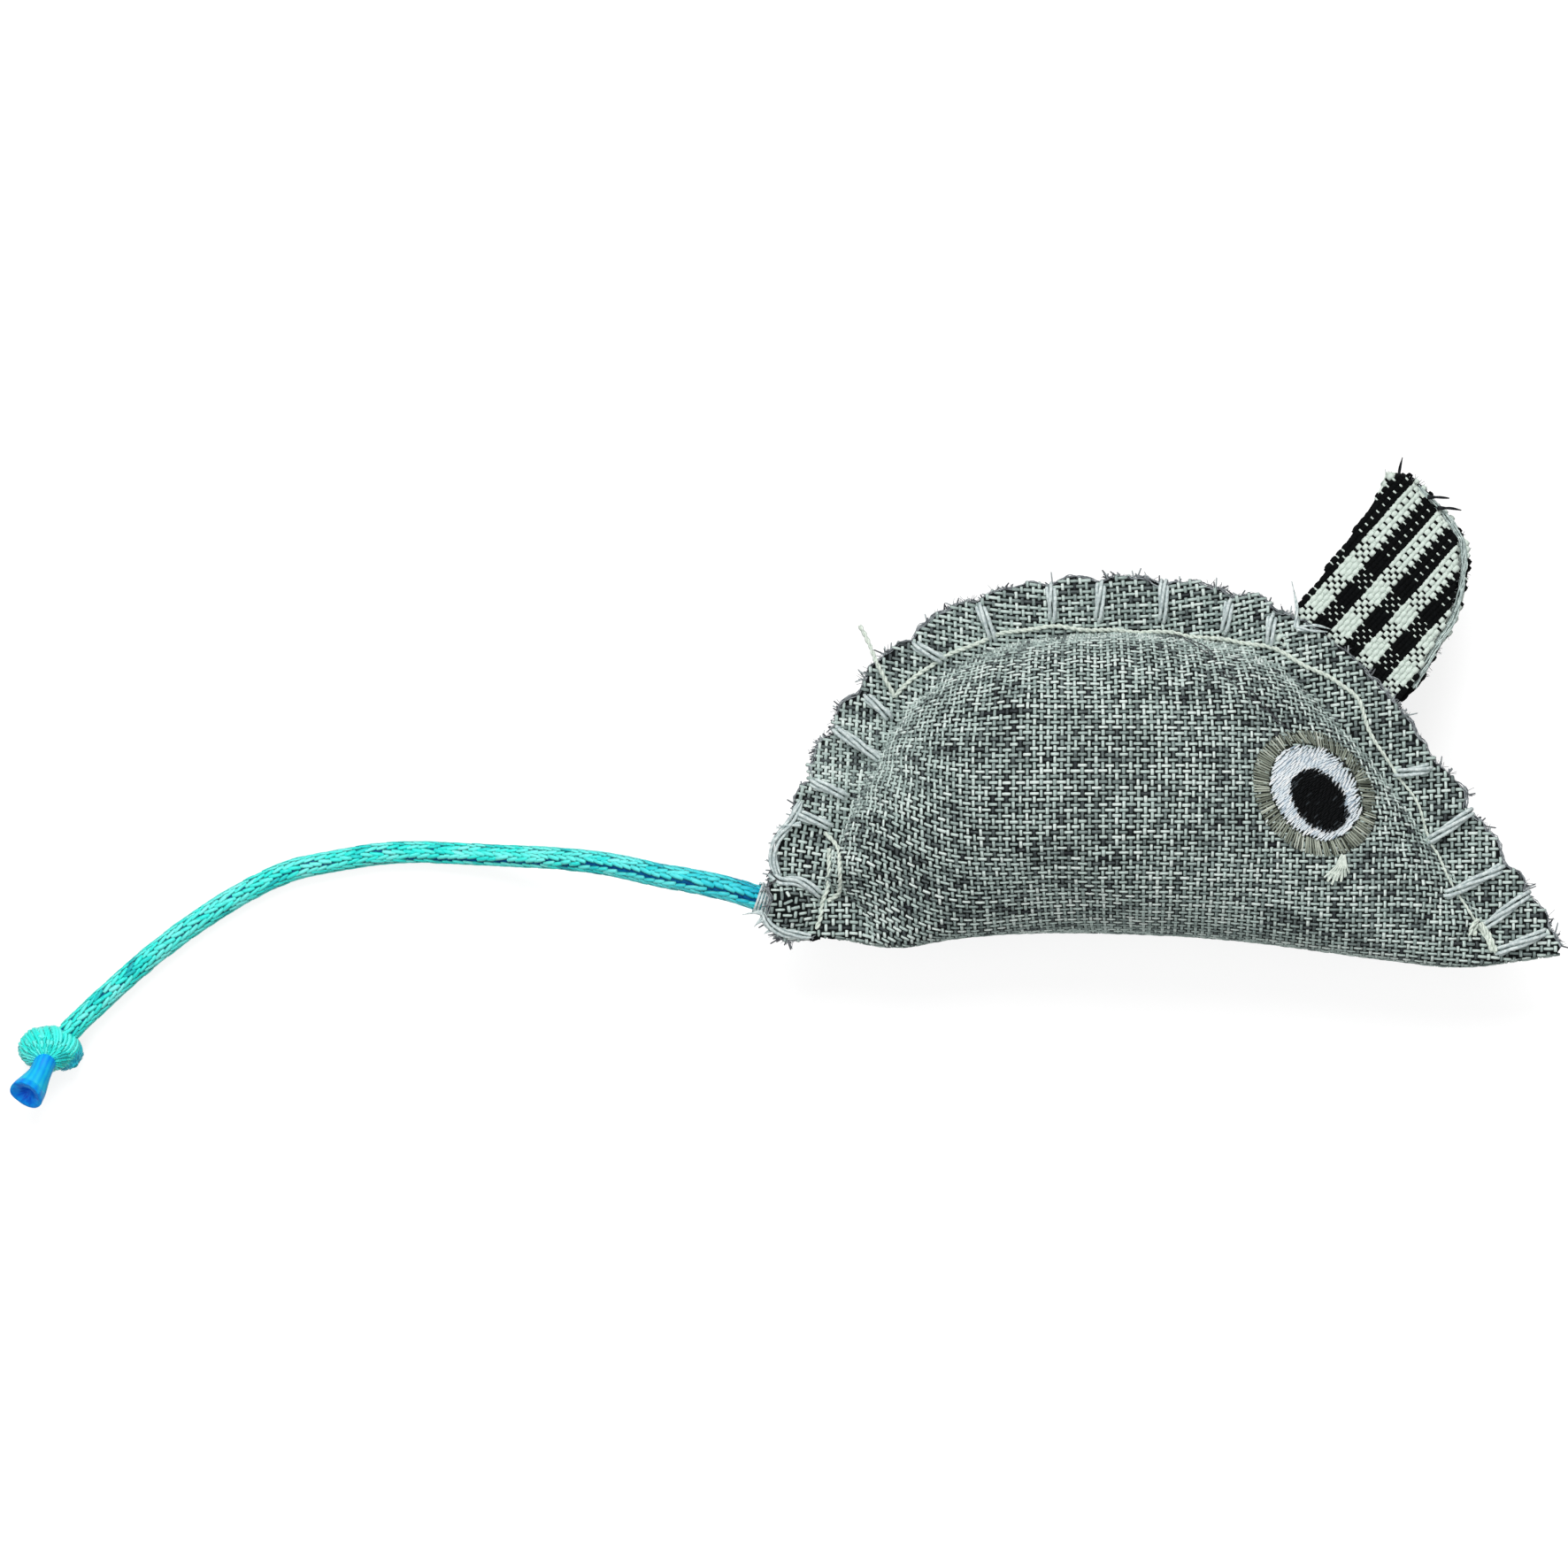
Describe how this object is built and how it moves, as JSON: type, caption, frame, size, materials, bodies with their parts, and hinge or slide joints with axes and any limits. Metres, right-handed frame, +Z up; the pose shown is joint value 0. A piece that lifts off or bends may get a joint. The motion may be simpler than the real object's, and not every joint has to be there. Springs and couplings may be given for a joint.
{
  "type": "catnip mouse",
  "caption": "Stuffed cloth catnip mouse lying on its side, with embroidered eyes, gingham ears, an overcast raw seam and a knotted satin cord tail.",
  "frame": {"origin": "on the flat patch of the resting side, under the fullest part of the body", "axes": "+X from tail to nose, +Y from belly fold to back seam, +Z up from the surface the toy lies on"},
  "size_m": [0.1555, 0.0636, 0.0235],
  "materials": {
    "cover_cloth": "coarse melange plain weave, matt",
    "wadding": "loose white fibre filling",
    "dried_catnip": "dried crumbled leaf",
    "seam_thread": "white sewing thread",
    "edge_yarn": "soft two-ply yarn",
    "eye_black": "satin-stitched embroidery",
    "eye_white": "satin-stitched embroidery",
    "eye_taupe": "satin-stitched embroidery",
    "ear_gingham": "small black and white gingham",
    "tail_satin": "knitted satin cord with a soft gloss",
    "tail_melt": "melted cord end"
  },
  "bodies": {
    "body": {"body_cover": "cover_cloth", "rear_wadding": "wadding", "catnip_filling": "dried_catnip", "head_wadding": "wadding", "near_seam_thread": "seam_thread", "far_seam_thread": "seam_thread", "edge_yarn": "edge_yarn", "near_eye_pupil": "eye_black", "near_eye_white": "eye_white", "near_eye_rim": "eye_taupe", "far_eye_pupil": "eye_black", "far_eye_white": "eye_white", "far_eye_rim": "eye_taupe", "tail_root": "tail_satin", "tail_binding": "edge_yarn"},
    "near_ear": {"near_ear": "ear_gingham"},
    "far_ear": {"far_ear": "ear_gingham"},
    "tail": {"tail_cord": "tail_satin", "tail_knot": "tail_satin", "tail_tip": "tail_melt"}
  },
  "joints": [
    {"name": "near_ear_fold", "type": "hinge", "parent": "body", "child": "near_ear", "pos_m": [0.02618, 0.01317, 0.01195], "axis": [0.7204, -0.6936, 0], "range_deg": [0, 90], "stiffness_Nm_per_rad": 0.0002},
    {"name": "far_ear_fold", "type": "hinge", "parent": "body", "child": "far_ear", "pos_m": [0.02618, 0.01317, 0.01105], "axis": [-0.7204, 0.6936, 0], "range_deg": [0, 30], "stiffness_Nm_per_rad": 0.0002},
    {"name": "tail_swing", "type": "hinge", "parent": "body", "child": "tail", "pos_m": [-0.03758, -0.01025, 0.0115], "axis": [0, 0, 1], "range_deg": [-60, 60], "stiffness_Nm_per_rad": 0.0001}
  ]
}
